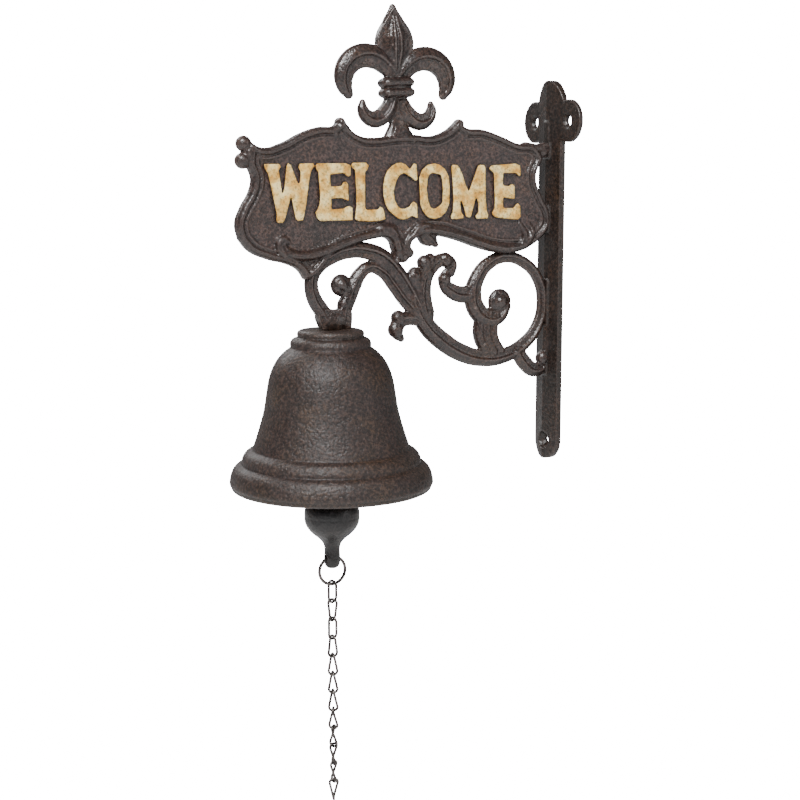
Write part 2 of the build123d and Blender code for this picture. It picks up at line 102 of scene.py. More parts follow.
# The board, from its left top horn, with a corner where each run starts
BOARD_EDGE = [
    [(-187, -16), (-180.5, -19), (-169.5, -16.5), (-158, -11), (-148, -8), (-139, -7.2)],
    [(-134.5, -3), (-131, -8), (-124.5, -12.3), (-116, -13.3), (-104, -12)],
    [(-90, -11.5), (-82, -12.2), (-73, -9.7), (-67.5, -6.2)],
    [(-64, -2.8), (-60.5, -6.8), (-48, -8.3), (-37, -11.6), (-26, -15.6), (-15, -17)],
    [(-9.5, -24), (-14, -34), (-10, -45), (-4.6, -54.5), (-4.6, -62), (-11, -69.5)],
    [(-20, -75), (-40.5, -74), (-63, -67.5), (-78, -63.8), (-91, -66)],
    [(-95, -76), (-99, -76), (-103, -69), (-109, -64.5)],
    [(-117, -66), (-138, -73), (-153, -87)],
    [(-157, -88), (-160.5, -83), (-167, -79.6), (-178.5, -76.6), (-188.6, -72)],
    [(-193.8, -66), (-195.3, -58), (-192.5, -50), (-187.5, -41.5), (-186, -35), (-188.5, -27)],
]
# Half sections of a swept bar, from its outer edge to its inner edge, as (side, height) for half width 1
ROUND = [
    (1, 0), (0.94, 0.42), (0.72, 0.76), (0.38, 0.96), (0, 1.0), (-0.38, 0.96), (-0.72, 0.76), (-0.94, 0.42),
    (-1, 0),
]
RIDGED = [
    (1, 0), (0.97, 0.3), (0.82, 0.6), (0.55, 0.82), (0.3, 0.98), (0.18, 1.04), (0.08, 1.0), (0, 0.8),
    (-0.08, 0.62), (-0.35, 0.6), (-0.7, 0.62), (-0.88, 0.6), (-0.98, 0.4), (-1, 0),
]
ROOF = [
    (1, 0), (0.97, 0.28), (0.85, 0.4), (0.36, 0.66), (0.27, 0.8), (0.2, 1.02), (0.12, 1.02), (0.04, 0.78),
    (-0.04, 0.78), (-0.12, 1.02), (-0.2, 1.02), (-0.27, 0.8), (-0.36, 0.66), (-0.85, 0.4), (-0.97, 0.28),
    (-1, 0),
]
# Half section of the board's moulded rim, as millimetres outside the outline and millimetres high
RIM = [
    (0.3, 0), (0.1, 2.2), (-0.5, 3.5), (-1.4, 4.4), (-2.3, 4.6), (-3.1, 4.1), (-3.6, 3.0), (-3.9, 2.2),
    (-4.4, 2.2), (-4.8, 3.2), (-5.3, 3.6), (-5.8, 3.1), (-6.1, 2.0), (-6.1, 0),
]
# The arm: the C scroll, the branch inside it, and the sweep that ends in the volute over the bell
C_BAND = [
    (-143.2, -112.6, 4.2), (-147, -105, 4.3), (-150.6, -99.6, 4.1), (-152.6, -93.5, 3.8),
    (-152.4, -87.5, 3.7), (-149, -81.5, 4), (-141.4, -76.2, 4.4), (-130.5, -73, 4.6), (-120, -73.6, 4.6),
    (-110.4, -77.2, 4.6), (-101.8, -85, 4.3), (-94.3, -95.2, 4), (-88, -106, 3.8),
]
BRANCH = [
    (-134.4, -112.6, 4.2), (-133, -104.5, 4), (-130.6, -98.5, 4.2), (-127.6, -92, 4.1), (-124.2, -86.4, 3.7),
    (-118.5, -82.6, 3.3), (-110.6, -85.4, 3.1), (-104, -92.8, 3.1), (-97, -101.6, 3.2), (-89.5, -109, 3.2),
]
SWEEP = [
    (-92, -100, 3.4), (-88.6, -107.4, 4.6), (-82.6, -116.6, 5.2), (-73, -125.2, 5.4), (-61, -132.4, 5.2),
    (-47.5, -136.4, 4.8), (-33.5, -136, 4.4), (-20.5, -130.5, 3.9), (-10.5, -120, 3.5), (-7, -105.5, 3.3),
    (-11, -91, 3.3), (-20.5, -82.3, 3.3), (-32, -79.2, 3.3), (-43, -82.4, 3.8), (-50.5, -90.4, 4.4),
    (-53.3, -100, 5), (-51, -108.3, 5.4), (-44.5, -113.4, 5.2), (-37, -112.6, 5), (-32.8, -107.4, 4.4),
]
# The double moulding under the greeting, in two halves
MOULDING_LEFT = [
    (-167.5, -66.5, 1.6), (-169.3, -70.5, 2.4), (-165, -74.4, 3), (-157, -75.3, 3), (-148, -73.8, 3),
    (-138, -70.6, 2.8), (-127.5, -67.2, 2.6), (-117, -64.9, 2.6), (-109, -64.4, 2.6), (-104, -67.5, 2.6),
    (-101.5, -73, 2.8),
]
MOULDING_RIGHT = [
    (-95.5, -75, 2.4), (-96.3, -70, 2.4), (-92, -65.3, 2.6), (-84.5, -63.2, 2.6), (-74, -64.4, 2.6),
    (-63, -67.1, 2.6), (-52, -70.6, 2.8), (-40.5, -73.6, 2.8), (-29, -74.2, 2.8), (-20, -71, 2.6),
    (-19, -65, 1.6),
]
# The finial: the large and the small petal of its right side
PETAL = [
    (1.5, 21, 4.4), (6, 26, 5.5), (12.4, 30, 6.3), (20.4, 30.7, 6.5), (27.6, 27, 6.2), (30.9, 20.8, 5.5),
    (30.5, 15, 4.4), (28.6, 11.2, 2.9),
]
SMALL_PETAL = [
    (3, 8, 3.7), (6.4, 1.6, 4.5), (13, -2.6, 4.7), (18.8, -0.6, 3.8), (20.8, 3.4, 3), (20.6, 6.6, 1.8),
]
FINIAL_X = -100.4
FINIAL_LEAN = -3.0


# ---- Making ----

def scratch_object(name, data):
    """An object that is only needed while a shape is made."""
    obj = bpy.data.objects.new(name, data)
    bpy.context.scene.collection.objects.link(obj)
    return obj


def mesh_of(obj):
    """The finished mesh of a scratch object, which is then dropped."""
    bpy.context.view_layer.update()
    graph = bpy.context.evaluated_depsgraph_get()
    mesh = bpy.data.meshes.new_from_object(obj.evaluated_get(graph))
    bpy.data.objects.remove(obj)
    return mesh


def smooth_line(name, points, corners=(), closed=False):
    """A curve through the points, in millimetres, with its half widths as radii."""
    data = bpy.data.curves.new(name, "CURVE")
    data.dimensions = "2D"
    data.fill_mode = "NONE"
    data.resolution_u = 8
    line = data.splines.new("BEZIER")
    line.bezier_points.add(len(points) - 1)
    for i, (knot, point) in enumerate(zip(line.bezier_points, points)):
        knot.co = (point[0] * MM, point[1] * MM, 0)
        knot.radius = point[2] if len(point) > 2 else 1
        knot.handle_left_type = knot.handle_right_type = "VECTOR" if i in corners else "AUTO"
    line.use_cyclic_u = closed
    return data


def section(points):
    """The closed cross section of a bar from its upper half, in millimetres for half width 1."""
    data = bpy.data.curves.new("section", "CURVE")
    data.dimensions = "2D"
    data.fill_mode = "NONE"
    whole = list(points) + [(u, -v) for u, v in reversed(points) if v > 0]
    line = data.splines.new("POLY")
    line.points.add(len(whole) - 1)
    for knot, (u, v) in zip(line.points, whole):
        knot.co = (u * MM, v * MM, 0, 1)
    line.use_cyclic_u = True
    return scratch_object("section", data)


def gather(bm, mesh, depth=1.0):
    """Adds a flat-made shape to the piece: upright on the middle plane, its depth scaled."""
    part = bmesh.new()
    part.from_mesh(mesh)
    bpy.data.meshes.remove(mesh)
    bmesh.ops.scale(part, verts=part.verts, vec=(1, 1, depth))
    bmesh.ops.rotate(part, verts=part.verts, cent=(0, 0, 0), matrix=Matrix.Rotation(math.radians(90), 3, "X"))
    bmesh.ops.remove_doubles(part, verts=part.verts, dist=1e-6)
    bmesh.ops.recalc_face_normals(part, faces=part.faces)
    joined = bpy.data.meshes.new("part")
    part.to_mesh(joined)
    part.free()
    bm.from_mesh(joined)
    bpy.data.meshes.remove(joined)


def lump(bm, x, z, rx, rz, depth, turn=0):
    """A rounded boss through the middle plane."""
    place = Matrix.Translation((x * MM, 0, z * MM)) @ Matrix.Rotation(math.radians(turn), 4, "Y")
    made = bmesh.ops.create_icosphere(bm, subdivisions=4, radius=1.0, matrix=Matrix.Identity(4))["verts"]
    bmesh.ops.scale(bm, verts=made, vec=(rx * MM, depth * MM, rz * MM))
    bmesh.ops.transform(bm, verts=made, matrix=place)


def bar(bm, path, deep, shape=ROUND, flip=False, ends=True):
    """A bar of the given section swept along its path. deep is half its greatest depth."""
    data = smooth_line("bar", path)
    data.bevel_mode = "OBJECT"
    half_section = [(-u, v) for u, v in reversed(shape)] if flip else shape
    cutter = section(half_section)
    data.bevel_object = cutter
    data.use_fill_caps = True
    widest = max(half for _, _, half in path)
    mesh = mesh_of(scratch_object("bar", data))
    bpy.data.objects.remove(cutter)
    gather(bm, mesh, deep / widest)
    for x, z, half in (path[0], path[-1]) if ends else ():
        lump(bm, x, z, half * 0.97, half * 0.97, deep * half / widest * 0.95)


def edge_run(runs):
    """The points of an outline, and which of them are its corners."""
    points, corners = [], []
    for run in runs:
        corners.append(len(points))
        points += run
    return points, corners


def plate(bm, runs, deep):
    """A filled plate inside an outline."""
    points, corners = edge_run(runs)
    data = smooth_line("plate", points, corners, closed=True)
    data.fill_mode = "BOTH"
    data.extrude = deep * MM
    gather(bm, mesh_of(scratch_object("plate", data)))


def rim(bm, runs, shape):
    """A moulded rim that follows an outline."""
    points, corners = edge_run(runs)
    data = smooth_line("rim", points, corners, closed=True)
    data.bevel_mode = "OBJECT"
    cutter = section([(-u, v) for u, v in reversed(shape)])
    data.bevel_object = cutter
    mesh = mesh_of(scratch_object("rim", data))
    bpy.data.objects.remove(cutter)
    gather(bm, mesh)


def cast(name, bm, grain, body, node, material, relax=2):
    """Runs the gathered shapes together as one casting, with its edges softened relax times over."""
    mesh = bpy.data.meshes.new(name)
    bm.to_mesh(mesh)
    bm.free()
    obj = scratch_object(name + "_pattern", mesh)
    melt = obj.modifiers.new("melt", "REMESH")
    melt.mode = "VOXEL"
    melt.voxel_size = grain * MM
    soften = obj.modifiers.new("soften", "SMOOTH")
    soften.factor = 0.5
    soften.iterations = relax
    return settle(name, mesh_of(obj), body, node, material)


def settle(name, mesh, body, node, material):
    """Puts a finished mesh in the model on its body."""
    mesh.name = name
    mesh.materials.clear()
    mesh.materials.append(material)
    for face in mesh.polygons:
        face.use_smooth = True
    obj = bpy.data.objects.new(name, mesh)
    bpy.context.scene.collection.objects.link(obj)
    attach(obj, body)
    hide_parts(node)
    return obj


def node_copy(node):
    """A merged copy of a part of the frame."""
    bm = bmesh.new()
    bm.from_mesh(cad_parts[node].data)
    bmesh.ops.remove_doubles(bm, verts=bm.verts, dist=1e-6)
    return bm


# ---- Materials ----

# Sizes of the patterns in the finishes, in millimetres
LACQUER_PATCH = 18
LACQUER_CLOUD = 6
BRUSH_PATCH = 6
PAINT_GRAIN = 1.3
TARNISH_PATCH = 4
SCALE_GRAIN = 0.7

# The first colour is the painted shade in the iron's hollows.
HOLLOW_SHADE = "140f0e"
RAISED_DARK = "1c1412"
BARE_IRON = "2c2422"


def paint(code):
    """A linear colour from an sRGB hex code."""
    parts = [int(code[i:i + 2], 16) / 255 for i in (0, 2, 4)]
    return [c / 12.92 if c <= 0.04045 else ((c + 0.055) / 1.055) ** 2.4 for c in parts] + [1]


def add(tree, kind, settings=None, links=None, stops=None, **options):
    """Adds one node with its options, socket settings, incoming links and colour stops. A stop is a place
    and its colour, which is an sRGB hex code or a plain strength."""
    node = tree.nodes.new(kind)
    for key, value in options.items():
        setattr(node, key, value)
    for key, value in (settings or {}).items():
        node.inputs[key].default_value = value
    for key, source in (links or {}).items():
        tree.links.new(source, node.inputs[key])
    if stops:
        bands = node.color_ramp.elements
        while len(bands) < len(stops):
            bands.new(0.5)
        for band, (place, colour) in zip(bands, stops):
            band.position = place
            band.color = paint(colour) if isinstance(colour, str) else (colour, colour, colour, 1)
    return node


def fresh(name):
    """An empty material with its shader and its object coordinates."""
    material = bpy.data.materials.new(name)
    material.use_nodes = True
    tree = material.node_tree
    tree.nodes.clear()
    out = add(tree, "ShaderNodeOutputMaterial")
    shader = add(tree, "ShaderNodeBsdfPrincipled")
    tree.links.new(shader.outputs[0], out.inputs[0])
    where = add(tree, "ShaderNodeTexCoord").outputs["Object"]
    return material, tree, shader, where


def lacquered_iron(name, dark, body, rust, ridge_wear_and_highlight, grit, relief, gloss, coat, field=False):
    """Sand-cast grey iron under a thin brown-black lacquer: a satin skin whose sand grains glint by their
    bumps, with the brightest grains also painted lighter as painted glints, a little browner where the
    lacquer is thin, lighter along the ridges as wear and as a painted highlight, and darkened with painted
    shade in the hollows.
    grit is the grain in mm, drawn a little coarse so that it shows. On the board the grain is full only on
    the flat field, and the rim and mouldings over it are smoother."""
    material, tree, shader, where = fresh(name)
    patches = add(
        tree, "ShaderNodeTexNoise", {"Scale": 1000 / LACQUER_PATCH, "Detail": 4, "Roughness": 0.6},
        {"Vector": where},
    )
    clouds = add(
        tree, "ShaderNodeTexNoise", {"Scale": 1000 / LACQUER_CLOUD, "Detail": 3, "Roughness": 0.6},
        {"Vector": where},
    )
    sand = add(
        tree, "ShaderNodeTexNoise", {"Scale": 1000 / grit, "Detail": 2, "Roughness": 0.7}, {"Vector": where}
    )
    tint = add(
        tree, "ShaderNodeValToRGB", links={"Fac": patches.outputs["Fac"]},
        stops=[(0.36, rust), (0.5, body), (0.64, dark)],
    )
    # Sand grain in the colour. Its bright end, nearly twice the lacquer's colour, is partly painted glint
    # standing for the highlights on the grains.
    fine = add(
        tree, "ShaderNodeValToRGB", links={"Fac": sand.outputs["Fac"]},
        stops=[(0.37, 0.38), (0.5, 0.86), (0.62, 1.95)],
    )
    grain = add(
        tree, "ShaderNodeMix", {"Factor": 1.0}, {6: tint.outputs["Color"], 7: fine.outputs["Color"]},
        data_type="RGBA", blend_type="MULTIPLY",
    )
    # Painted highlight and wear: sharp ridges are mixed a little towards a pale colour. It stands partly for
    # wear of the lacquer and partly for the highlights that light leaves along them.
    edge = add(tree, "ShaderNodeNewGeometry").outputs["Pointiness"]
    ridge_wear_and_highlight_mask = add(tree, "ShaderNodeValToRGB", links={"Fac": edge}, stops=[(0.51, 0.0), (0.57, 1.0)])
    ridge_wear_and_highlight_amount = add(
        tree, "ShaderNodeMath", {1: 0.22}, {0: ridge_wear_and_highlight_mask.outputs["Color"]}, operation="MULTIPLY", use_clamp=True
    )
    top = add(
        tree, "ShaderNodeMix", {7: paint(ridge_wear_and_highlight)}, {0: ridge_wear_and_highlight_amount.outputs[0], 6: grain.outputs[2]},
        data_type="RGBA",
    )
    # Painted shade: concave places are mixed towards near-black, as the shade that gathers in the hollows.
    hollow_shade_mask = add(tree, "ShaderNodeValToRGB", links={"Fac": edge}, stops=[(0.41, 1.0), (0.493, 0.0)])
    shade = add(tree, "ShaderNodeMath", {1: 0.85}, {0: hollow_shade_mask.outputs["Color"]}, operation="MULTIPLY")
    skin = add(
        tree, "ShaderNodeMix", {7: paint(HOLLOW_SHADE)}, {0: shade.outputs[0], 6: top.outputs[2]}, data_type="RGBA"
    )
    sheen = add(
        tree, "ShaderNodeValToRGB", links={"Fac": clouds.outputs["Fac"]},
        stops=[(0.35, gloss - 0.07), (0.65, gloss + 0.1)],
    )
    rough = add(
        tree, "ShaderNodeBump", {"Strength": relief, "Distance": grit * 0.4 * MM},
        {"Height": sand.outputs["Fac"]},
    )
    if field:
        place = add(tree, "ShaderNodeSeparateXYZ", links={0: where})
        height = add(tree, "ShaderNodeMath", links={0: place.outputs["Y"]}, operation="ABSOLUTE")
        flat = add(
            tree, "ShaderNodeMapRange",
            {"From Min": 2.7 * MM, "From Max": 3.2 * MM, "To Min": relief, "To Max": relief * 0.3},
            {"Value": height.outputs[0]},
        )
        tree.links.new(flat.outputs[0], rough.inputs["Strength"])
        raised = add(
            tree, "ShaderNodeMapRange", {"From Min": 2.6 * MM, "From Max": 3.4 * MM, "To Max": 0.45},
            {"Value": height.outputs[0]},
        )
        skin = add(
            tree, "ShaderNodeMix", {7: paint(RAISED_DARK)}, {0: raised.outputs[0], 6: skin.outputs[2]},
            data_type="RGBA",
        )
    dents = add(
        tree, "ShaderNodeBump", {"Strength": 0.5, "Distance": 0.7 * MM},
        {"Height": clouds.outputs["Fac"], "Normal": rough.outputs[0]},
    )
    tree.links.new(skin.outputs[2], shader.inputs["Base Color"])
    tree.links.new(sheen.outputs["Color"], shader.inputs["Roughness"])
    tree.links.new(dents.outputs[0], shader.inputs["Normal"])
    tree.links.new(dents.outputs[0], shader.inputs["Coat Normal"])
    shader.inputs["Coat Weight"].default_value = coat
    shader.inputs["Coat Roughness"].default_value = 0.26
    return material


# The board's field is coarse, and its mouldings are smooth, dark and glossy.
board_iron = lacquered_iron(
    "lacquered_cast_iron_board", "2f2421", "372925", "3a2a23", "ab9a94", 1.5, 1.0, 0.38, 0.4, field=True
)
# The finial and the arm have a skin between the two.
bracket_iron = lacquered_iron(
    "lacquered_cast_iron_bracket", "271c19", "2d201c", "33241c", "ab9a94", 1.6, 0.6, 0.34, 0.5
)
# The wall bar is the darkest and brownest.
bar_iron = lacquered_iron(
    "lacquered_cast_iron_bar", "1f1713", "251b17", "2a1d16", "6e5f59", 1.6, 0.5, 0.42, 0.2
)
# The bell's skin is even, pebbled and a little browner.
bell_iron = lacquered_iron(
    "lacquered_cast_iron_bell", "281d19", "2d211c", "31241b", "8c7d76", 1.5, 1.0, 0.5, 0.15
)
# The clapper is smoother and darker.
clapper_iron = lacquered_iron(
    "lacquered_cast_iron_clapper", "131011", "181314", "1d1614", "5a4f4b", 1.6, 0.4, 0.36, 0.2
)


def gold_paint():
    """Hand-brushed gold enamel over the cast letters: cream gold with ochre patches, and bare iron down the
    sides, where the brush missed."""
    material, tree, shader, where = fresh("brushed_gold_enamel")
    patches = add(
        tree, "ShaderNodeTexNoise", {"Scale": 1000 / BRUSH_PATCH, "Detail": 4, "Roughness": 0.6},
        {"Vector": where},
    )
    sand = add(
        tree, "ShaderNodeTexNoise", {"Scale": 1000 / PAINT_GRAIN, "Detail": 3, "Roughness": 0.6},
        {"Vector": where},
    )
    gold = add(
        tree, "ShaderNodeValToRGB", links={"Fac": patches.outputs["Fac"]},
        stops=[(0.36, "c8903a"), (0.5, "e6bb66"), (0.62, "fbdf98")],
    )
    fine = add(
        tree, "ShaderNodeValToRGB", links={"Fac": sand.outputs["Fac"]},
        stops=[(0.34, 0.5), (0.46, 0.98), (0.66, 1.2)],
    )
    grain = add(
        tree, "ShaderNodeMix", {"Factor": 1.0}, {6: gold.outputs["Color"], 7: fine.outputs["Color"]},
        data_type="RGBA", blend_type="MULTIPLY",
    )
    place = add(tree, "ShaderNodeSeparateXYZ", links={0: where})
    height = add(tree, "ShaderNodeMath", links={0: place.outputs["Y"]}, operation="ABSOLUTE")
    ragged = add(tree, "ShaderNodeMath", {1: 0.9 * MM}, {0: sand.outputs["Fac"]}, operation="MULTIPLY")
    level = add(
        tree, "ShaderNodeMath", links={0: height.outputs[0], 1: ragged.outputs[0]}, operation="SUBTRACT"
    )
    cover = add(
        tree, "ShaderNodeMapRange", {"From Min": 3.15 * MM, "From Max": 3.55 * MM},
        {"Value": level.outputs[0]},
    )
    skin = add(
        tree, "ShaderNodeMix", {6: paint(BARE_IRON)}, {0: cover.outputs[0], 7: grain.outputs[2]},
        data_type="RGBA",
    )
    rough = add(
        tree, "ShaderNodeBump", {"Strength": 0.6, "Distance": 0.4 * MM}, {"Height": sand.outputs["Fac"]}
    )
    tree.links.new(skin.outputs[2], shader.inputs["Base Color"])
    tree.links.new(rough.outputs[0], shader.inputs["Normal"])
    shader.inputs["Roughness"].default_value = 0.48
    return material


def black_wire():
    """Black oxide steel wire: dark with a thin bright line of gloss and slight tarnish."""
    material, tree, shader, where = fresh("black_oxide_steel_wire")
    tarnish = add(
        tree, "ShaderNodeTexNoise", {"Scale": 1000 / TARNISH_PATCH, "Detail": 3}, {"Vector": where}
    )
    colour = add(
        tree, "ShaderNodeValToRGB", links={"Fac": tarnish.outputs["Fac"]},
        stops=[(0.35, "4a4644"), (0.65, "7b7572")],
    )
    gloss = add(
        tree, "ShaderNodeValToRGB", links={"Fac": tarnish.outputs["Fac"]}, stops=[(0.3, 0.32), (0.7, 0.5)]
    )
    scale = add(tree, "ShaderNodeTexNoise", {"Scale": 1000 / SCALE_GRAIN, "Detail": 2}, {"Vector": where})
    pits = add(
        tree, "ShaderNodeBump", {"Strength": 0.3, "Distance": 0.1 * MM}, {"Height": scale.outputs["Fac"]}
    )
    tree.links.new(colour.outputs["Color"], shader.inputs["Base Color"])
    tree.links.new(gloss.outputs["Color"], shader.inputs["Roughness"])
    tree.links.new(pits.outputs[0], shader.inputs["Normal"])
    shader.inputs["Metallic"].default_value = 1.0
    return material


letter_gold = gold_paint()
wire_black = black_wire()


# ---- The name board and its finial ----

def finial_shapes(bm):
    """The ridged spear, two hooked petals, the double ring and the small petals on their stem. It leans a
    little, as cast."""
    x = FINIAL_X
    plate(bm, [[(x, 56), (x - 4.6, 50), (x - 10.3, 40.5), (x - 10.1, 33)],
               [(x, 18), (x + 10.1, 33), (x + 10.3, 40.5), (x + 4.6, 50)]], 2.4)
    spear = [(x, 17, 2.5), (x, 25, 6.4), (x, 33, 10), (x, 40, 10.3), (x, 49, 6.2), (x, 55.6, 2.2)]
    bar(bm, spear, SPEAR_HALF, ROOF)
    for side in (-1, 1):
        drop = PETAL_DROP * (side + 1) / 2
        for path, deep, outward in ((PETAL, PETAL_HALF, side > 0), (SMALL_PETAL, SMALL_PETAL_HALF, side < 0)):
            bar(bm, [(x + side * px, pz - drop, half) for px, pz, half in path], deep, RIDGED, flip=outward)
    bar(bm, [(x, 10, 3.4), (x, 2, 4), (x, -6, 5.6), (x, -14, 10)], 4.8, ROUND, ends=False)
    for z in (16.3, 11):
        bar(bm, [(x - 7.2, z, 2.8), (x, z, 2.8), (x + 7.2, z, 2.8)], HOOP_HALF)
    lump(bm, x, 13.6, 8.6, 4.6, 5)
    pivot = Vector((x, 0, -12)) * MM
    turn = Matrix.Rotation(math.radians(FINIAL_LEAN), 3, "Y")
    bmesh.ops.rotate(bm, verts=bm.verts, cent=pivot, matrix=turn)


def board_shapes(bm):
    """The field, its rim and curls, and the double moulding with leaf ends."""
    plate(bm, BOARD_EDGE, FIELD_HALF)
    rim(bm, BOARD_EDGE, RIM)
    for x, z, radius in ((-190.2, -16.8, 4.2), (-190.8, -25.6, 4.3)):
        lump(bm, x, z, radius, radius, 4.4)
    bar(bm, [(-20, -17, 2.6), (-12, -18.2, 2.6), (-6.5, -17.6, 2.6), (-5, -21.5, 2.4)], 4.2)
    bar(bm, MOULDING_LEFT, MOULDING_HALF)
    bar(bm, MOULDING_RIGHT, MOULDING_HALF)
    for path in (
        [(-166, -68, 1.6), (-170.4, -66.4, 2.2), (-172.4, -70.6, 2.2), (-168, -75, 2.4)],
        [(-118, -64.6, 1.2), (-112, -61.8, 2.2), (-106.4, -62.4, 2.4), (-103.4, -66, 2.4)],
        [(-93, -66, 2.2), (-89, -61.6, 2.2), (-83, -60.6, 1.8), (-78, -62.6, 1.2)],
        [(-24, -73.4, 2), (-21.4, -66.4, 2.2), (-24.2, -61, 1.6), (-25.6, -57.6, 0.9)],
        [(-19.4, -71, 2), (-16.4, -65.4, 2), (-18.6, -60, 1.2)],
    ):
        bar(bm, path, CURL_HALF)
    for x, z, radius, depth in (
        (-135.4, -5.2, 2.6, 4.6), (-63.2, -5, 2.6, 4.6), (-139, -11, 2.2, 4.4), (-59.6, -11, 2.2, 4.4),
        (-187.6, -21.2, 3.2, 4.4), (-8.4, -20.4, 3, 4.4), (-108.6, -14.6, 2.2, 4.6), (-92.6, -14.4, 2.2, 4.6),
    ):
        lump(bm, x, z, radius, radius, depth)
    bar(bm, [(-85, -64.5, 3.5), (-80.5, -68, 3.3), (-77.4, -71.2, 1.8)], 4.6, RIDGED)
    bar(bm, [(-87, -66, 2), (-84.6, -69.4, 2), (-81, -71.2, 1.2)], 3.6)
    for x, z, radius in ((-101.2, -75.2, 3.2), (-94.8, -75.2, 3.2), (-98, -77.6, 3.2), (-102.6, -79.4, 2.6)):
        lump(bm, x, z, radius, radius, 5)


def volute(bm, x, z, radius):
    """The round eye of a scroll: a low round boss with a smaller, taller button in the middle."""
    lump(bm, x, z, radius, radius, 3.6)
    lump(bm, x, z, radius * 0.62, radius * 0.62, 5)


def arm_shapes(bm):
    """The scrolls, their volutes and their leaf sprays."""
    bar(bm, C_BAND, 4.2, RIDGED, flip=True)
    bar(bm, BRANCH, 4.0, RIDGED, flip=True)
    bar(bm, SWEEP, 4.4, RIDGED)
    foot = [(-129.6, -107), (-133, -103.6), (-138.5, -105), (-144, -104), (-149.4, -106.5)]
    plate(bm, [[(-147.4, CROWN_Z)], [(-130.2, CROWN_Z)], foot], 3.3)
    lump(bm, -139.2, -111.2, 8.6, 6.6, 4.7)
    volute(bm, -135.2, -91.8, 6.1)
    bar(bm, [(-133, -93, 3.5), (-131.5, -97.5, 3.5), (-134, -103, 3.5)], 3.8)
    volute(bm, -35.8, -104.4, 7.3)
    curls = [
        ([(-87, -113, 3.5), (-93.2, -111.8, 3.7), (-98.6, -112.4, 4.1), (-101.6, -116, 4.1),
          (-101, -120, 3.5), (-98.8, -122.6, 2.1)], RIDGED, False),
        ([(-83, -110, 5), (-85, -103, 5.2), (-85.4, -96.5, 5), (-83.8, -89.5, 4.4), (-79.4, -83.2, 4),
          (-72.8, -79.8, 3.8), (-67.2, -82.2, 3.4), (-67.5, -87, 2.8)], RIDGED, True),
        ([(-86, -96, 3.1), (-90, -91.4, 4.1), (-90.4, -87, 4.1)], ROUND, False),
        ([(-82, -87.6, 3.3), (-83.6, -82.6, 3.8), (-80.8, -79.2, 3.5)], ROUND, False),
        ([(-67.5, -85.5, 2.6), (-71.4, -88.6, 2.8), (-71.6, -93, 3.6), (-67, -97.4, 4.4), (-60.5, -99.6, 4.8),
          (-54, -99, 4.8)], RIDGED, False),
        ([(-24, -133, 4.1), (-18.6, -140.6, 4.5), (-12.4, -145, 4.3), (-6.4, -143.6, 3.5),
          (-4.6, -139.5, 2.9)], RIDGED, False),
    ]
    for path, shape, flip in curls:
        bar(bm, path, LEAF_HALF, shape, flip)
    for path in (
        [(-47.5, -111.5, 3), (-49.3, -118, 3.2), (-48.8, -125, 3.2), (-44.4, -132.5, 3)],
        [(-43, -110.5, 2.8), (-44.6, -118, 3), (-44, -125, 3), (-39.8, -133, 3)],
        [(-38.6, -111, 2.6), (-40, -118, 2.8), (-39.4, -125.4, 2.8), (-35, -132.5, 2.6)],
    ):
        bar(bm, path, CUP_LEAF_HALF)
    for x, z, radius, depth in (
        (-100.6, -111, 4.2, 4), (-102.2, -117.6, 4.5, 4), (-91, -88.6, 4.4, 4.2), (-84.4, -81, 4.2, 4.2),
        (-71.2, -79.8, 4.2, 4.2), (-71.6, -90.6, 3.8, 4), (-6, -138.6, 4.4, 4.4),
    ):
        lump(bm, x, z, radius, radius, depth)


def make_board():
    """The name board."""
    bm = bmesh.new()
    board_shapes(bm)
    return cast("name_board", bm, BOARD_GRAIN, "bracket", "bracket_casting", board_iron)


def make_finial():
    """The lily on top of the board."""
    bm = bmesh.new()
    finial_shapes(bm)
    return cast("lily_finial", bm, FINIAL_GRAIN, "bracket", "bracket_casting", bracket_iron)


def make_arm():
    """The scroll arm under the board."""
    bm = bmesh.new()
    arm_shapes(bm)
    return cast("scroll_arm", bm, ARM_GRAIN, "bracket", "bracket_casting", bracket_iron)


def make_wall_bar():
    """The wall bar, from the frame's casting cut off in front of the bar's ridge."""
    bm = node_copy("bracket_casting")
    everything = bm.verts[:] + bm.edges[:] + bm.faces[:]
    bmesh.ops.bisect_plane(
        bm, geom=everything, plane_co=(BAR_FRONT * MM, 0, 0), plane_no=(-1, 0, 0), clear_outer=True
    )
    bmesh.ops.holes_fill(bm, edges=[e for e in bm.edges if e.is_boundary], sides=0)
    return cast("wall_bar", bm, BAR_GRAIN, "bracket", "bracket_casting", bar_iron, relax=3)


def make_letters(side):
    """The raised letters with soft, uneven edges."""
    node = "lettering_" + side
    bm = node_copy(node)
    return cast("letters_" + side, bm, LETTER_GRAIN, "bracket", node, letter_gold)


make_board()
make_finial()
make_arm()
make_wall_bar()
make_letters("front")
make_letters("back")


# ---- The bell ----

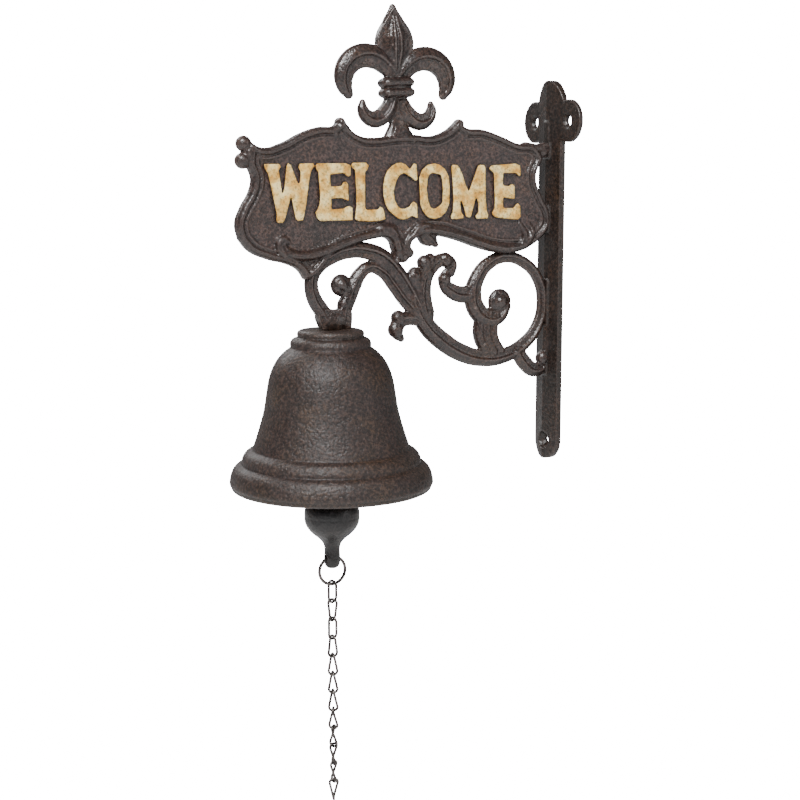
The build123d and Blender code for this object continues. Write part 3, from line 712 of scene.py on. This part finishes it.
def make_bell():
    """The bell, turned from its section, with soft steps at the crown and two soft bands above the lip.
    The section is given as radius and depth below the crown, in millimetres."""
    outer = [
        (STUD_HOLE, 0), (10, 0), (15.4, 0), (17.2, 0.4), (18.2, 1.4), (18.4, 2.8), (18, 3.6), (18.5, 4.3),
        (20.2, 4.7), (21.5, 5.7), (22.1, 7.2), (22.1, 8.6), (21.8, 9.4), (22.6, 10.2), (24.6, 11.4),
        (26.9, 13.5), (29.4, 16.4), (31.6, 20.2), (33.1, 24.2), (34.2, 28.2), (34.9, 32.4), (35.6, 37.1),
        (36.3, 42), (37.4, 47), (39, 52.4), (40.9, 58.6), (42.2, 62.4), (42.8, 64), (42.9, 65),
        (43.9, 65.6), (46, 66.2), (47.8, 67.9), (48.9, 70.2), (49.2, 71.8), (48.9, 72.7), (49.7, 73.4),
        (51.8, 73.9), (53.8, 75.8), (55, 78.6), (55.7, 81.8), (55.9, 83.6), (55.5, 84.6), (54.9, 84.9),
        (55, 85.9), (54.4, 87), (52.9, 87.5), (51.3, 86.9),
    ]
    inner = [
        (50.4, 83.5), (48.6, 78.6), (43, 69.8), (39.6, 62.6), (37.2, 56), (34.6, 49), (33, 43.7),
        (31.7, 36.6), (30.8, 30.4), (29.6, 25.2), (27.7, 21), (24.9, 16.4), (21.5, 12.8), (17.8, 8.6),
        (13.7, 5.9),
        (8, 5.8), (STUD_HOLE, 5.8),
    ]
    bm = bmesh.new()
    low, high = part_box("bell")
    centre = Vector(((low.x + high.x) / 2, 0, high.z))
    ring = [bm.verts.new(centre + Vector((r * MM, 0, -depth * MM))) for r, depth in outer + inner]
    edges = [bm.edges.new((a, b)) for a, b in zip(ring, ring[1:] + ring[:1])]
    bmesh.ops.spin(
        bm, geom=ring + edges, cent=centre, axis=(0, 0, 1), angle=math.radians(360), steps=BELL_STEPS,
        use_merge=True
    )
    bmesh.ops.remove_doubles(bm, verts=bm.verts, dist=1e-6)
    bmesh.ops.recalc_face_normals(bm, faces=bm.faces)
    mesh = bpy.data.meshes.new("bell_shell")
    bm.to_mesh(mesh)
    bm.free()
    obj = settle("bell_shell", mesh, "bracket", "bell", bell_iron)
    turn = obj.modifiers.new("turned", "SUBSURF")
    turn.levels = turn.render_levels = 1
    return obj


make_bell()


# ---- Parts kept from the frame ----

def finish_node(node, material):
    """Gives a part of the frame its finish."""
    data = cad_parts[node].data
    data.materials.clear()
    data.materials.append(material)


finish_node("clapper", clapper_iron)
for kept in ["hanger_eye_bolt", "bell_washer", "bell_nut", "clapper_hook", "pull_ring"]:
    finish_node(kept, wire_black)
for number in range(1, LINKS + 1):
    finish_node("chain_link_%02d" % number, wire_black)


# ---- Light, floor and camera ----

def white_paper():
    """Matt white studio paper, lit so strongly that the eye sees no shade on it."""
    material, tree, shader, _ = fresh("matt_white_studio_paper")
    shader.inputs["Base Color"].default_value = paint("f4f4f4")
    shader.inputs["Roughness"].default_value = 0.9
    shader.inputs["Emission Color"].default_value = (1, 1, 1, 1)
    seen = add(tree, "ShaderNodeLightPath")
    glow = add(
        tree, "ShaderNodeMath", {1: PAPER_GLOW}, {0: seen.outputs["Is Camera Ray"]}, operation="MULTIPLY"
    )
    tree.links.new(glow.outputs[0], shader.inputs["Emission Strength"])
    return material


def make_floor():
    """A sheet of paper just under the lowest link."""
    bm = bmesh.new()
    low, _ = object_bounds()
    place = Matrix.Translation((0, 0, low.z - FLOOR_GAP))
    bmesh.ops.create_grid(bm, x_segments=1, y_segments=1, size=FLOOR_SIZE, matrix=place)
    mesh = bpy.data.meshes.new("studio_floor")
    bm.to_mesh(mesh)
    bm.free()
    mesh.materials.append(white_paper())
    floor = bpy.data.objects.new("studio_floor", mesh)
    bpy.context.scene.collection.objects.link(floor)


def lamp(name, place, size, power):
    """A round soft lamp that faces the bracket."""
    data = bpy.data.lights.new(name, "AREA")
    data.shape = "DISK"
    data.size = size
    data.energy = power
    obj = bpy.data.objects.new(name, data)
    obj.location = place
    obj.rotation_euler = (Vector(LIT_POINT) - Vector(place)).to_track_quat("-Z", "Y").to_euler()
    bpy.context.scene.collection.objects.link(obj)


def make_light():
    """A high key lamp from the left, a weak fill and a lamp behind, in a dim white room."""
    world = bpy.data.worlds.new("studio")
    world.use_nodes = True
    tree = world.node_tree
    sky = tree.nodes["Background"]
    seen = add(tree, "ShaderNodeLightPath")
    bright = add(
        tree, "ShaderNodeMapRange", {"To Min": STUDIO_LIGHT, "To Max": PAPER_GLOW},
        {"Value": seen.outputs["Is Camera Ray"]},
    )
    sky.inputs["Color"].default_value = (1, 1, 1, 1)
    tree.links.new(bright.outputs[0], sky.inputs["Strength"])
    bpy.context.scene.world = world
    lamp("key", (-0.9, -0.9, 1.1), size=0.4, power=42)
    lamp("fill", (0.9, -1.3, 0.3), size=0.9, power=5)
    lamp("back", (-0.3, 1.4, 0.8), size=0.9, power=10)


def make_camera():
    """A long lens in front of the board, a little above it and to its left."""
    target = Vector(CAMERA_TARGET) * MM
    turn, rise = math.radians(CAMERA_TURN), math.radians(CAMERA_RISE)
    back = Vector((math.sin(turn) * math.cos(rise), -math.cos(turn) * math.cos(rise), math.sin(rise)))
    data = bpy.data.cameras.new("camera")
    data.lens = CAMERA_LENS
    data.sensor_width = 36
    data.clip_start = 0.01
    camera = bpy.data.objects.new("camera", data)
    camera.location = target + back * CAMERA_DISTANCE
    camera.rotation_euler = (-back).to_track_quat("-Z", "Y").to_euler()
    bpy.context.scene.collection.objects.link(camera)
    bpy.context.scene.camera = camera


make_floor()
make_light()
make_camera()
